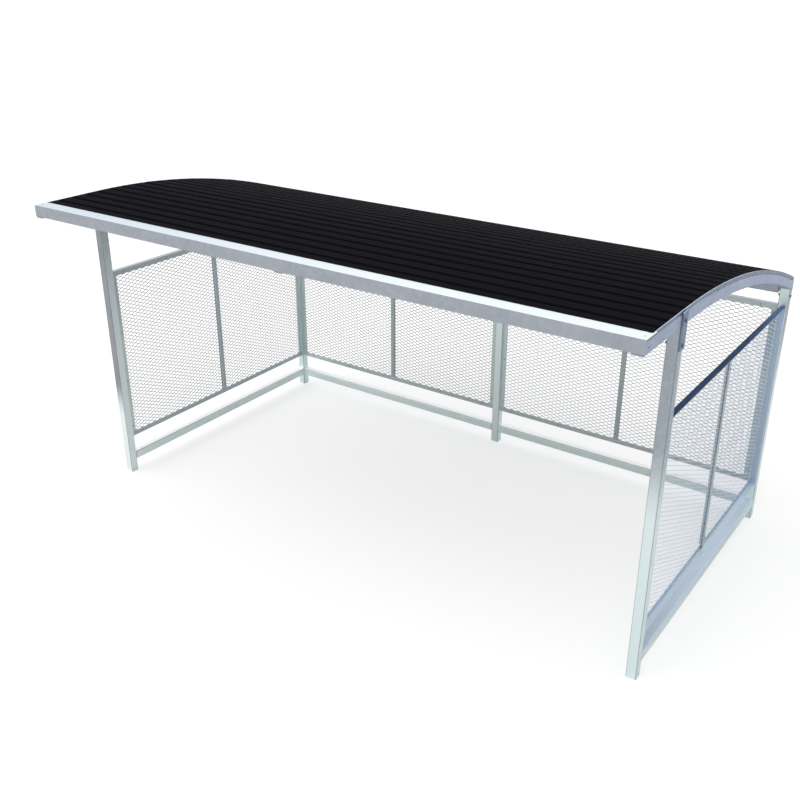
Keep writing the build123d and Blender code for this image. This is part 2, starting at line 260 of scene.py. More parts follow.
@dataclass(frozen=True)
class GalvanisedSteel:
    """Hot-dip galvanised steel, dipped whole after it was welded.

    The zinc freezes in soft-edged crystals, so the grey is faintly mottled and each crystal has its own gloss. The
    faces that look up get a painted highlight, the metal near the ground a painted reflection of the pale floor, and
    rolled tube corners a painted reflection in another grey. The painted floor reflection fades in from foot_top down
    to foot_full, and on faces that look to the front from front_top down to front_full, all heights in metres.
    """

    name: str
    pale: str = "#b1b9c1"
    deep: str = "#9fa7b0"
    # Painted highlight on the faces that look up
    upward_painted_light: str = "#f2fbfd"
    # Painted reflection of the pale floor near the ground; on faces that look to the front it also stands in for light
    # from the front
    foot: str = "#e8f6f7"
    # Painted reflection on rolled corners, darker on most finishes
    corner: str = "#78848c"
    spangle_mm: float = 14.0
    cloud_mm: float = 160.0
    grain_mm: float = 4.0
    crystal_share: float = 0.2
    roughness: float = 0.42
    duller: float = 0.08
    glossier: float = 0.06
    metallic: float = 0.7
    relief: float = 0.12
    relief_mm: float = 0.2
    foot_top: float = 1.45
    foot_full: float = 0.95
    front_top: float = 1.45
    front_full: float = 0.95

    def material(self) -> bpy.types.Material:
        """Builds the node material.

        Returns:
            The material, named as the finish is.
        """
        material, tree = new_material(self.name)
        place = add_node(tree, "ShaderNodeTexCoord").outputs["Object"]
        height = add_node(tree, "ShaderNodeSeparateXYZ", inputs={0: place}).outputs["Z"]
        facing = add_node(tree, "ShaderNodeNewGeometry").outputs["True Normal"]
        way = add_node(tree, "ShaderNodeSeparateXYZ", inputs={0: facing})
        crystal = self.crystals(tree, place)
        tone = add_node(tree, "ShaderNodeSeparateColor", inputs={0: crystal.outputs["Color"]})
        # Painted reflection of the pale floor at the foot
        reflected = self.floor_reflection(tree, height, way, self.zinc(tree, place, tone))
        # Painted reflection on rolled corners, laid over the angle's painted leg shade and rim reflection
        edged = add_node(
            tree,
            "ShaderNodeMix",
            COLOURS,
            {
                FACTOR: self.roundness(tree, way),
                COLOUR_A: self.level_legs(tree, height, reflected),
                COLOUR_B: linear(self.corner),
            },
        )
        # Painted highlight on the faces that look up
        upward = add_node(
            tree, "ShaderNodeMapRange", SMOOTH, {"Value": way.outputs["Z"], "From Min": UP_FROM, "From Max": UP_FULL}
        )
        colour = add_node(
            tree,
            "ShaderNodeMix",
            COLOURS,
            {
                FACTOR: upward.outputs[0],
                COLOUR_A: edged.outputs[MIXED_COLOUR],
                COLOUR_B: self.upward_colour(tree, height),
            },
        )
        gloss = add_node(
            tree,
            "ShaderNodeMapRange",
            inputs={
                "Value": tone.outputs[1],
                "To Min": self.roughness - self.glossier,
                "To Max": self.roughness + self.duller,
            },
        )
        grain = add_node(
            tree,
            "ShaderNodeTexNoise",
            inputs={"Vector": place, "Scale": 1 / (self.grain_mm * MM), "Detail": 3.0},
        )
        rough_zinc = add_node(
            tree,
            "ShaderNodeMix",
            NUMBERS,
            {FACTOR: 0.5, NUMBER_A: grain.outputs["Fac"], NUMBER_B: crystal.outputs["Distance"]},
        )
        bump = add_node(
            tree,
            "ShaderNodeBump",
            inputs={
                "Height": rough_zinc.outputs[MIXED_NUMBER],
                "Strength": self.relief,
                "Distance": self.relief_mm * MM,
            },
        )
        surface = add_node(
            tree,
            "ShaderNodeBsdfPrincipled",
            inputs={
                "Base Color": colour.outputs[MIXED_COLOUR],
                "Metallic": self.metallic,
                "Roughness": gloss.outputs[0],
                "Normal": bump.outputs[0],
            },
        )
        add_node(tree, "ShaderNodeOutputMaterial", inputs={"Surface": surface.outputs[0]})
        return material

    def crystals(self, tree: bpy.types.NodeTree, place: bpy.types.NodeSocket) -> bpy.types.Node:
        """Lays out the zinc's crystals, with edges that wander as ripples bend them.

        Args:
            tree: Node tree of the material.
            place: Socket with the place on the object.

        Returns:
            The node that gives each crystal's colour and the distance from its middle.
        """
        ripple = add_node(
            tree,
            "ShaderNodeTexNoise",
            inputs={"Vector": place, "Scale": 0.6 / (self.spangle_mm * MM), "Detail": 2.0},
        )
        bent = add_node(
            tree,
            "ShaderNodeVectorMath",
            {"operation": "MULTIPLY_ADD"},
            {0: ripple.outputs["Color"], 1: (self.spangle_mm * MM,) * 3, 2: place},
        )
        return add_node(
            tree,
            "ShaderNodeTexVoronoi",
            {"feature": "F1"},
            {"Vector": bent.outputs[0], "Scale": 1 / (self.spangle_mm * MM)},
        )

    def zinc(
        self, tree: bpy.types.NodeTree, place: bpy.types.NodeSocket, tone: bpy.types.Node
    ) -> bpy.types.NodeSocket:
        """Mottles the grey by broad clouds and a little by the crystals.

        Args:
            tree: Node tree of the material.
            place: Socket with the place on the object.
            tone: Node that separates each crystal's colour.

        Returns:
            The colour of the zinc, before the painted light is laid on.
        """
        cloud = add_node(
            tree,
            "ShaderNodeTexNoise",
            inputs={"Vector": place, "Scale": 1 / (self.cloud_mm * MM), "Detail": 5.0, "Roughness": 0.65},
        )
        mottle = add_node(
            tree,
            "ShaderNodeMix",
            NUMBERS,
            {FACTOR: self.crystal_share, NUMBER_A: cloud.outputs["Fac"], NUMBER_B: tone.outputs[0]},
        )
        spread = add_node(
            tree,
            "ShaderNodeMapRange",
            inputs={"Value": mottle.outputs[MIXED_NUMBER], "From Min": 0.3, "From Max": 0.7},
        )
        mixed = add_node(
            tree,
            "ShaderNodeMix",
            COLOURS,
            {FACTOR: spread.outputs[0], COLOUR_A: linear(self.deep), COLOUR_B: linear(self.pale)},
        )
        return mixed.outputs[MIXED_COLOUR]

    def floor_reflection(
        self,
        tree: bpy.types.NodeTree,
        height: bpy.types.NodeSocket,
        way: bpy.types.Node,
        zinc: bpy.types.NodeSocket,
    ) -> bpy.types.NodeSocket:
        """Paints a reflection of the pale floor near the ground, from a height of its own on faces that look to the
        front.

        Args:
            tree: Node tree of the material.
            height: Socket with the height in metres.
            way: Node that separates the normal.
            zinc: Colour of the metal further up.

        Returns:
            The colour with the painted floor reflection at the foot.
        """
        to_front = add_node(
            tree,
            "ShaderNodeMapRange",
            SMOOTH,
            {"Value": way.outputs["Y"], "From Min": FRONT_FROM, "From Max": FRONT_FULL},
        )
        other, front = (
            add_node(
                tree, "ShaderNodeMapRange", SMOOTH, {"Value": height, "From Min": top, "From Max": full}
            ).outputs[0]
            for top, full in ((self.foot_top, self.foot_full), (self.front_top, self.front_full))
        )
        reflection_share = add_node(
            tree, "ShaderNodeMix", NUMBERS, {FACTOR: to_front.outputs[0], NUMBER_A: other, NUMBER_B: front}
        )
        mixed = add_node(
            tree,
            "ShaderNodeMix",
            COLOURS,
            {FACTOR: reflection_share.outputs[MIXED_NUMBER], COLOUR_A: zinc, COLOUR_B: linear(self.foot)},
        )
        return mixed.outputs[MIXED_COLOUR]

    def roundness(self, tree: bpy.types.NodeTree, way: bpy.types.Node) -> bpy.types.NodeSocket:
        """Finds rolled corners: their normal has two large parts.

        Args:
            tree: Node tree of the material.
            way: Node that separates the normal.

        Returns:
            A factor from 0 on flat faces to CORNER_SHARE in the middle of a corner.
        """
        most: bpy.types.NodeSocket | float = 0.0
        for one, two in (("X", "Y"), ("Y", "Z"), ("Z", "X")):
            product = add_node(
                tree, "ShaderNodeMath", {"operation": "MULTIPLY"}, {0: way.outputs[one], 1: way.outputs[two]}
            )
            size = add_node(tree, "ShaderNodeMath", {"operation": "ABSOLUTE"}, {0: product.outputs[0]})
            most = add_node(
                tree, "ShaderNodeMath", {"operation": "MAXIMUM"}, {0: size.outputs[0], 1: most}
            ).outputs[0]
        rolled = add_node(
            tree,
            "ShaderNodeMapRange",
            inputs={"Value": most, "From Min": CORNER_FROM, "From Max": CORNER_FULL, "To Max": CORNER_SHARE},
        )
        return rolled.outputs[0]

    def level_legs(
        self, tree: bpy.types.NodeTree, height: bpy.types.NodeSocket, colour: bpy.types.NodeSocket
    ) -> bpy.types.NodeSocket:
        """Leaves the colour as it is, because only angle has level legs."""
        return colour

    def upward_colour(self, tree: bpy.types.NodeTree, height: bpy.types.NodeSocket) -> Colour:
        """Gives the painted highlight of the faces that look up."""
        return linear(self.upward_painted_light)


@dataclass(frozen=True)
class GalvanisedAngle(GalvanisedSteel):
    """Hot-dip galvanised angle of a panel frame.

    Its level legs at the top and bottom get a painted shade, another tone than the uprights. The faces
    that look along the shelter's depth can take a painted reflection of the blue sky, by the share that rim_tint
    gives.
    """

    # Painted shade on the level legs at the top and bottom
    level_leg: str = "#7c868b"
    # Painted light on the top leg's faces that look up
    top_face: str = "#c5cdd2"
    # Painted reflection of the blue sky on faces that look along the depth, at the share that rim_tint gives
    rim: str = "#b3c5d8"
    rim_tint: float = 0.0
    bottom_leg_top: float = 0.309
    top_leg_bottom: float = 1.504

    def from_height(
        self, tree: bpy.types.NodeTree, height: bpy.types.NodeSocket, edge: float, way: int
    ) -> bpy.types.NodeSocket:
        """Steps from 0 to 1 at a leg's edge, within a millimetre of it.

        Args:
            tree: Node tree of the material.
            height: Socket with the height in metres.
            edge: Height of the edge in metres.
            way: 1 where the leg lies above its edge, -1 where it lies below.

        Returns:
            The factor.
        """
        ends = {"From Min": edge - way * MM, "From Max": edge + way * MM}
        return add_node(tree, "ShaderNodeMapRange", SMOOTH, {"Value": height, **ends}).outputs[0]

    def level_legs(
        self, tree: bpy.types.NodeTree, height: bpy.types.NodeSocket, colour: bpy.types.NodeSocket
    ) -> bpy.types.NodeSocket:
        """Paints shade on the level legs, and then the rims' share of painted sky reflection.

        Args:
            tree: Node tree of the material.
            height: Socket with the height in metres.
            colour: Colour of the uprights.

        Returns:
            The colour with the painted shade of the level legs and the painted reflection of the rims in it.
        """
        low = self.from_height(tree, height, self.bottom_leg_top, -1)
        high = self.from_height(tree, height, self.top_leg_bottom, 1)
        either = add_node(tree, "ShaderNodeMath", {"operation": "MAXIMUM"}, {0: low, 1: high})
        legs = add_node(
            tree,
            "ShaderNodeMix",
            COLOURS,
            {FACTOR: either.outputs[0], COLOUR_A: colour, COLOUR_B: linear(self.level_leg)},
        )
        facing = add_node(tree, "ShaderNodeNewGeometry").outputs["True Normal"]
        way = add_node(tree, "ShaderNodeSeparateXYZ", inputs={0: facing})
        along = add_node(tree, "ShaderNodeMath", {"operation": "ABSOLUTE"}, {0: way.outputs["Y"]})
        on_rim = add_node(
            tree,
            "ShaderNodeMapRange",
            inputs={"Value": along.outputs[0], "From Min": 0.5, "From Max": 0.9, "To Max": self.rim_tint},
        )
        rims = add_node(
            tree,
            "ShaderNodeMix",
            COLOURS,
            {FACTOR: on_rim.outputs[0], COLOUR_A: legs.outputs[MIXED_COLOUR], COLOUR_B: linear(self.rim)},
        )
        return rims.outputs[MIXED_COLOUR]

    def upward_colour(self, tree: bpy.types.NodeTree, height: bpy.types.NodeSocket) -> Colour:
        """Gives the top leg its own painted light on the faces that look up.

        Args:
            tree: Node tree of the material.
            height: Socket with the height in metres.

        Returns:
            The painted light of the faces that look up.
        """
        high = self.from_height(tree, height, self.top_leg_bottom, 1)
        mixed = add_node(
            tree,
            "ShaderNodeMix",
            COLOURS,
            {FACTOR: high, COLOUR_A: linear(self.upward_painted_light), COLOUR_B: linear(self.top_face)},
        )
        return mixed.outputs[MIXED_COLOUR]


@dataclass(frozen=True)
class GradedLipSheet(GalvanisedSteel):
    """Galvanised sheet of the fascia.

    Its lip's painted highlight is bluish on the left, from lip_blend_start, and turns pale towards the right, at
    lip_blend_end.
    """

    # Bluish painted highlight of the lip at its left end
    film: str = "#d8e3ee"
    lip_blend_start: float = -2.0
    lip_blend_end: float = 1.2

    def upward_colour(self, tree: bpy.types.NodeTree, height: bpy.types.NodeSocket) -> Colour:
        """Blends the lip's painted highlight from its bluish left end to its pale right end.

        Args:
            tree: Node tree of the material.
            height: Socket with the height, which the lip doesn't need.

        Returns:
            The painted highlight of the faces that look up.
        """
        place = add_node(tree, "ShaderNodeTexCoord").outputs["Object"]
        along = add_node(tree, "ShaderNodeSeparateXYZ", inputs={0: place}).outputs["X"]
        rightward = add_node(
            tree, "ShaderNodeMapRange", SMOOTH, {"Value": along, "From Min": self.lip_blend_start, "From Max": self.lip_blend_end}
        )
        mixed = add_node(
            tree,
            "ShaderNodeMix",
            COLOURS,
            {FACTOR: rightward.outputs[0], COLOUR_A: linear(self.film), COLOUR_B: linear(self.upward_painted_light)},
        )
        return mixed.outputs[MIXED_COLOUR]


@dataclass(frozen=True)
class GalvanisedStrands:
    """Galvanised expanded metal, slit, stretched and then dipped.

    The faces of its strands that look away from the shelter's middle get painted light, and those that look
    inwards a darker painted shade.
    """

    name: str
    # Painted light on strand faces that look outwards
    outward_light: str = "#b4bdc4"
    # Painted shade on strand faces that look inwards
    inward_shade: str = "#737b80"
    cloud_mm: float = 90.0
    roughness: float = 0.5
    gloss_swing: float = 0.1
    metallic: float = 0.4

    def material(self) -> bpy.types.Material:
        """Builds the node material.

        Returns:
            The material, named as the finish is.
        """
        material, tree = new_material(self.name)
        place = add_node(tree, "ShaderNodeTexCoord").outputs["Object"]
        facing = add_node(tree, "ShaderNodeNewGeometry").outputs["True Normal"]
        # Painted light outwards and painted shade inwards, by the strand's normal
        from_middle = add_node(
            tree, "ShaderNodeVectorMath", {"operation": "MULTIPLY"}, {0: place, 1: (1.0, 1.0, 0.0)}
        )
        outward = add_node(
            tree, "ShaderNodeVectorMath", {"operation": "DOT_PRODUCT"}, {0: from_middle.outputs[0], 1: facing}
        )
        side = add_node(
            tree,
            "ShaderNodeMapRange",
            inputs={"Value": outward.outputs["Value"], "From Min": 0.2, "From Max": 0.9},
        )
        cloud = add_node(
            tree,
            "ShaderNodeTexNoise",
            inputs={"Vector": place, "Scale": 1 / (self.cloud_mm * MM), "Detail": 4.0, "Roughness": 0.6},
        )
        tint = add_node(
            tree,
            "ShaderNodeMix",
            COLOURS,
            {FACTOR: side.outputs[0], COLOUR_A: linear(self.inward_shade), COLOUR_B: linear(self.outward_light)},
        )
        shade = add_node(
            tree,
            "ShaderNodeMapRange",
            inputs={"Value": cloud.outputs["Fac"], "From Min": 0.3, "From Max": 0.7, "To Min": 0.88, "To Max": 1.06},
        )
        colour = add_node(
            tree,
            "ShaderNodeVectorMath",
            {"operation": "SCALE"},
            {0: tint.outputs[MIXED_COLOUR], "Scale": shade.outputs[0]},
        )
        gloss = add_node(
            tree,
            "ShaderNodeMapRange",
            inputs={
                "Value": cloud.outputs["Fac"],
                "To Min": self.roughness - self.gloss_swing,
                "To Max": self.roughness + self.gloss_swing,
            },
        )
        surface = add_node(
            tree,
            "ShaderNodeBsdfPrincipled",
            inputs={"Base Color": colour.outputs[0], "Metallic": self.metallic, "Roughness": gloss.outputs[0]},
        )
        add_node(tree, "ShaderNodeOutputMaterial", inputs={"Surface": surface.outputs[0]})
        return material


@dataclass(frozen=True)
class CoatedRoofSheet:
    """Roll-formed steel sheet with a black polyester coil coating.

    The coating is matt and slightly pebbled, with a thin film of dust that rain has combed down the slope. Its IOR
    is far below that of polyester, because the weathered coat hardly mirrors the sky.
    """

    name: str
    colour: str = "#121117"
    dust: str = "#1a191f"
    dust_share: float = 0.35
    roughness: float = 0.6
    duller: float = 0.12
    glossier: float = 0.08
    ior: float = 1.045
    pebble_mm: float = 2.0
    pebble: float = 0.2
    pebble_depth_mm: float = 0.1
    streak_mm: float = 60.0
    comb: float = 0.12

    def material(self) -> bpy.types.Material:
        """Builds the node material.

        Returns:
            The material, named as the finish is.
        """
        material, tree = new_material(self.name)
        place = add_node(tree, "ShaderNodeTexCoord").outputs["Object"]
        combed = add_node(
            tree, "ShaderNodeMapping", inputs={"Vector": place, "Scale": (1.0, self.comb, self.comb)}
        )
        streak = add_node(
            tree,
            "ShaderNodeTexNoise",
            inputs={"Vector": combed.outputs[0], "Scale": 1 / (self.streak_mm * MM), "Detail": 5.0},
        )
        film = add_node(
            tree,
            "ShaderNodeMapRange",
            inputs={"Value": streak.outputs["Fac"], "From Min": 0.45, "From Max": 0.8, "To Max": self.dust_share},
        )
        colour = add_node(
            tree,
            "ShaderNodeMix",
            COLOURS,
            {FACTOR: film.outputs[0], COLOUR_A: linear(self.colour), COLOUR_B: linear(self.dust)},
        )
        gloss = add_node(
            tree,
            "ShaderNodeMapRange",
            inputs={
                "Value": streak.outputs["Fac"],
                "To Min": self.roughness - self.glossier,
                "To Max": self.roughness + self.duller,
            },
        )
        pebbles = add_node(
            tree,
            "ShaderNodeTexNoise",
            inputs={"Vector": place, "Scale": 1 / (self.pebble_mm * MM), "Detail": 2.0},
        )
        bump = add_node(
            tree,
            "ShaderNodeBump",
            inputs={
                "Height": pebbles.outputs["Fac"],
                "Strength": self.pebble,
                "Distance": self.pebble_depth_mm * MM,
            },
        )
        surface = add_node(
            tree,
            "ShaderNodeBsdfPrincipled",
            inputs={
                "Base Color": colour.outputs[MIXED_COLOUR],
                "Roughness": gloss.outputs[0],
                "IOR": self.ior,
                "Normal": bump.outputs[0],
            },
        )
        add_node(tree, "ShaderNodeOutputMaterial", inputs={"Surface": surface.outputs[0]})
        return material


class Finish(Enum):
    """The shelter's finishes."""

    TUBE = GalvanisedSteel("hot_dip_galvanised_tube")
    # Painted light: paler than the other tubes on its sides far up, and on its front faces only near the ground
    TUBE_FRONT_LEFT = GalvanisedSteel(
        "hot_dip_galvanised_tube_with_painted_light",
        pale="#a0a6ac",
        deep="#92989e",
        foot="#f5ffff",
        foot_top=2.5,
        foot_full=0.8,
        front_top=0.74,
        front_full=0.45,
    )
    # Paler copies of the tube as painted light for parts in the roof's shade; the right rail's upward faces get a
    # painted blue sky reflection, and the rear right post's front faces the paler foot colour all the way up
    RAIL = GalvanisedSteel("hot_dip_galvanised_rail", upward_painted_light="#ffffff", foot="#effcfc")
    RAIL_RIGHT = GalvanisedSteel("hot_dip_galvanised_rail_under_sky", upward_painted_light="#e0efff")
    TUBE_REAR_RIGHT = GalvanisedSteel("hot_dip_galvanised_tube_in_light", front_top=3.0, front_full=2.0)
    ARCH = GalvanisedSteel("hot_dip_galvanised_rolled_tube", pale="#a7b3cb", deep="#97a4bb")
    VERGE = GalvanisedSteel(
        "hot_dip_galvanised_edge_bar", pale="#808ea7", deep="#717f99", upward_painted_light="#c9d6e4", corner="#6d788e"
    )
    PLATE = GalvanisedSteel(
        "hot_dip_galvanised_plate", pale="#7d8aa3", deep="#6f7c95", upward_painted_light="#9fb3c8", corner="#8797ad"
    )
    FLAT = GalvanisedSteel("hot_dip_galvanised_flat_bar", pale="#c2ccd2", deep="#b3bdc4", foot="#bac5c9")
    FLAT_REAR = GalvanisedSteel(
        "hot_dip_galvanised_rear_flat_bar", pale="#b6c0c2", deep="#a4afb2", foot="#b4c0c0", corner="#98a2a5"
    )
    FASCIA = GradedLipSheet(
        "spangled_galvanised_sheet", spangle_mm=24.0, cloud_mm=260.0, pale="#b0b5bd", deep="#a0a6ae"
    )
    # Each panel's angle is a lit or shaded copy with its own painted light and shade; the right one is painted near
    # white with a painted blue top leg
    ANGLE_LEFT = GalvanisedAngle(
        "hot_dip_galvanised_left_angle", pale="#c6d0d3", deep="#b8c2c5", foot="#dbe7e7", level_leg="#bcc6ca"
    )
    ANGLE_REAR = GalvanisedAngle(
        "hot_dip_galvanised_rear_angle", pale="#bcc8c9", deep="#aebabb", foot="#d3e0e0", level_leg="#c5cfd0"
    )
    ANGLE_RIGHT = GalvanisedAngle(
        "hot_dip_galvanised_right_angle",
        pale="#f7fcff",
        deep="#eef5fa",
        foot="#f7fcff",
        level_leg="#b8cbe2",
        top_face="#7596c4",
        rim_tint=0.9,
    )
    STRANDS = GalvanisedStrands("galvanised_expanded_metal", inward_shade="#a3abb0")
    STRANDS_LEFT = GalvanisedStrands("galvanised_expanded_metal_in_shade", inward_shade="#747c80")
    STRANDS_RIGHT = GalvanisedStrands("galvanised_expanded_metal_in_light", outward_light="#e6f3ff", inward_shade="#84a2c8")
    ROOF = CoatedRoofSheet("black_coil_coated_steel")
    BOLTS = GalvanisedSteel(
        "zinc_plated_steel",
        pale="#7f868d",
        deep="#666d74",
        foot="#7f868d",
        upward_painted_light="#9aa3ab",
        roughness=0.32,
        spangle_mm=5.0,
    )


SLOT_FINISH = {
    "frame_tube": Finish.TUBE,
    "flat_steel": Finish.FLAT,
    "fascia": Finish.FASCIA,
    "angle_frame": Finish.ANGLE_REAR,
    "mesh": Finish.STRANDS,
    "roof_sheet": Finish.ROOF,
    "bolts": Finish.BOLTS,
}

# Nodes whose zinc looks different from the rest of their slot; the posts', rails' and panel frames' finishes are lit
# and shaded copies, with painted light and shade
NODE_FINISH = {
    "front_left_post": Finish.TUBE_FRONT_LEFT,
    "rear_right_post": Finish.TUBE_REAR_RIGHT,
    "rear_middle_post": Finish.RAIL,
    "left_bottom_rail": Finish.RAIL,
    "right_bottom_rail": Finish.RAIL_RIGHT,
    "rear_left_bottom_rail": Finish.RAIL,
    "rear_right_bottom_rail": Finish.RAIL,
    "left_roof_arch": Finish.ARCH,
    "middle_roof_arch": Finish.ARCH,
    "right_roof_arch": Finish.ARCH,
    "left_verge_bar": Finish.VERGE,
    "right_verge_bar": Finish.VERGE,
    "front_left_post_plate": Finish.PLATE,
    "front_right_post_plate": Finish.PLATE,
    "rear_left_panel_mullion": Finish.FLAT_REAR,
    "rear_right_panel_mullion": Finish.FLAT_REAR,
    "left_panel_frame": Finish.ANGLE_LEFT,
    "right_panel_frame": Finish.ANGLE_RIGHT,
}

# The expanded metal of each panel, by how much light its sheltered side gets
STRANDS_FINISH = {
    "left": Finish.STRANDS_LEFT,
    "right": Finish.STRANDS_RIGHT,
    "rear_left": Finish.STRANDS_LEFT,
    "rear_right": Finish.STRANDS,
}


class Workshop:
    """Keeps each finish's material so that it is built once."""

    def __init__(self) -> None:
        """Starts with no material built."""
        self.built: dict[Finish, bpy.types.Material] = {}

    def material(self, finish: Finish) -> bpy.types.Material:
        """Gives the material of a finish.

        Args:
            finish: One of the shelter's finishes.

        Returns:
            Its material, built at the first call.
        """
        if finish not in self.built:
            self.built[finish] = finish.value.material()
        return self.built[finish]


# Sub-assemblies


@dataclass
class SteelFrame:
    """Posts, arches, rails, beams, fascia, roof sheets and panel frames, as the CAD gives them."""

    workshop: Workshop
    nodes: dict[str, bpy.types.Object]
    subparts: list[dict[str, str]]

    def build(self) -> None:
        """Gives each carried-over node its own finish, or else that of its slot."""
        for part in self.subparts:
            name = part["node"]
            finish = NODE_FINISH.get(name, SLOT_FINISH[part["material_slot"]])
            dress(self.nodes[name], self.workshop.material(finish))
        LOG.info("dressed %d nodes", len(self.subparts))


@dataclass
class ExpandedMetal:
    """Raised expanded metal: zigzag strands that meet in bonds, long way of the mesh level.

    The sheet is modelled once, flat in the XZ plane, and then copied, turned about Z and set into each panel.
    """

    workshop: Workshop
    long_way: float = 60.0 * MM
    short_way: float = 27.1 * MM
    strand_width: float = 3.4 * MM
    sheet: float = 1.3 * MM
    bond: float = 13.0 * MM
    overlap: float = 2.8 * MM
    tilt: float = math.radians(18)
    spare_periods: int = 3
    spare_rows: int = 1
    turns: dict[str, float] = field(
        default_factory=lambda: {
            "left": math.pi / 2,
            "right": -math.pi / 2,
            "rear_left": 0.0,
            "rear_right": 0.0,
        }
    )

    def strand_period(self) -> bpy.types.Object:
        """Models one zigzag of a strand, from the middle of a low bond to the next.

        Returns:
            An open-ended strand whose section is a tilted rectangle.
        """
        deselect_all()
        bpy.ops.mesh.primitive_plane_add(size=1.0, location=(0, 0, 0), rotation=(0, math.pi / 2, 0))
        strand = bpy.context.object
        strand.scale = (self.strand_width, self.sheet, 1.0)
        settle(strand)
        bpy.ops.object.mode_set(mode="EDIT")
        bpy.ops.mesh.select_all(action="SELECT")
        bpy.ops.transform.rotate(value=self.tilt, orient_axis="X", center_override=(0, 0, 0))
        side = self.strand_width / 2 * math.sin(self.tilt)
        drop = self.strand_width / 2 * math.cos(self.tilt)
        rise = self.short_way / 2 - 2 * drop + self.overlap
        run = self.long_way / 2 - self.bond
        bpy.ops.transform.translate(value=(-self.bond / 2, side, drop - self.overlap / 2))
        for step in (
            (self.bond, 0, 0),
            (run, -2 * side, rise),
            (self.bond, 0, 0),
            (run, 2 * side, -rise),
        ):
            bpy.ops.mesh.extrude_region_move(TRANSFORM_OT_translate={"value": step})
        bpy.ops.mesh.select_all(action="DESELECT")
        bpy.ops.object.mode_set(mode="OBJECT")
        for face in strand.data.polygons:
            face.select = abs(face.normal.x) > SQUARE_ON
        bpy.ops.object.mode_set(mode="EDIT")
        bpy.ops.mesh.delete(type="ONLY_FACE")
        bpy.ops.object.mode_set(mode="OBJECT")
        return strand

    def flat_sheet(self, width: float, height: float) -> bpy.types.Object:
        """Models a sheet of the mesh, centred on the origin in the XZ plane.

        It is laid out a little too large, and then cut to size on all four sides.

        Args:
            width: Size along X in metres.
            height: Size along Z in metres.

        Returns:
            The sheet.
        """
        count = math.ceil(width / self.long_way) + self.spare_periods
        row = self.strand_period()
        array_along(row, count, Vector((self.long_way, 0, 0)), merge=True)
        row.location.x = -self.long_way * (count - 1) / 2
        settle(row)
        other = copy_piece(row, "second_row")
        other.location = (self.long_way / 2, 0, self.short_way / 2)
        settle(other)
        for strand in (row, other):
            cut_away(strand, Vector((width / 2, 0, 0)), Vector((1, 0, 0)))
            cut_away(strand, Vector((-width / 2, 0, 0)), Vector((-1, 0, 0)))
        sheet = join_pieces([row, other], "flat_sheet")
        rows = math.ceil(height / self.short_way) + self.spare_rows
        array_along(sheet, rows, Vector((0, 0, self.short_way)), merge=False)
        sheet.location.z = -self.short_way * rows / 2
        settle(sheet)
        cut_away(sheet, Vector((0, 0, height / 2)), Vector((0, 0, 1)))
        cut_away(sheet, Vector((0, 0, -height / 2)), Vector((0, 0, -1)))
        return sheet

    def build(self) -> None:
        """Sets a sheet into each of the four panels."""
        low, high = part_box("rear_left_mesh_panel")
        size = high - low
        pattern = self.flat_sheet(size.x, size.z)
        for panel, turn in self.turns.items():
            node = f"{panel}_mesh_panel"
            low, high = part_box(node)
            sheet = copy_piece(pattern, f"{panel}_expanded_metal")
            sheet.rotation_euler.z = turn
            sheet.location = (low + high) / 2
            settle(sheet)
            dress(sheet, self.workshop.material(STRANDS_FINISH[panel]))
            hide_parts(node)
            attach(sheet, "root")
            LOG.info("%s: %d faces", sheet.name, len(sheet.data.polygons))
        bpy.data.objects.remove(pattern)


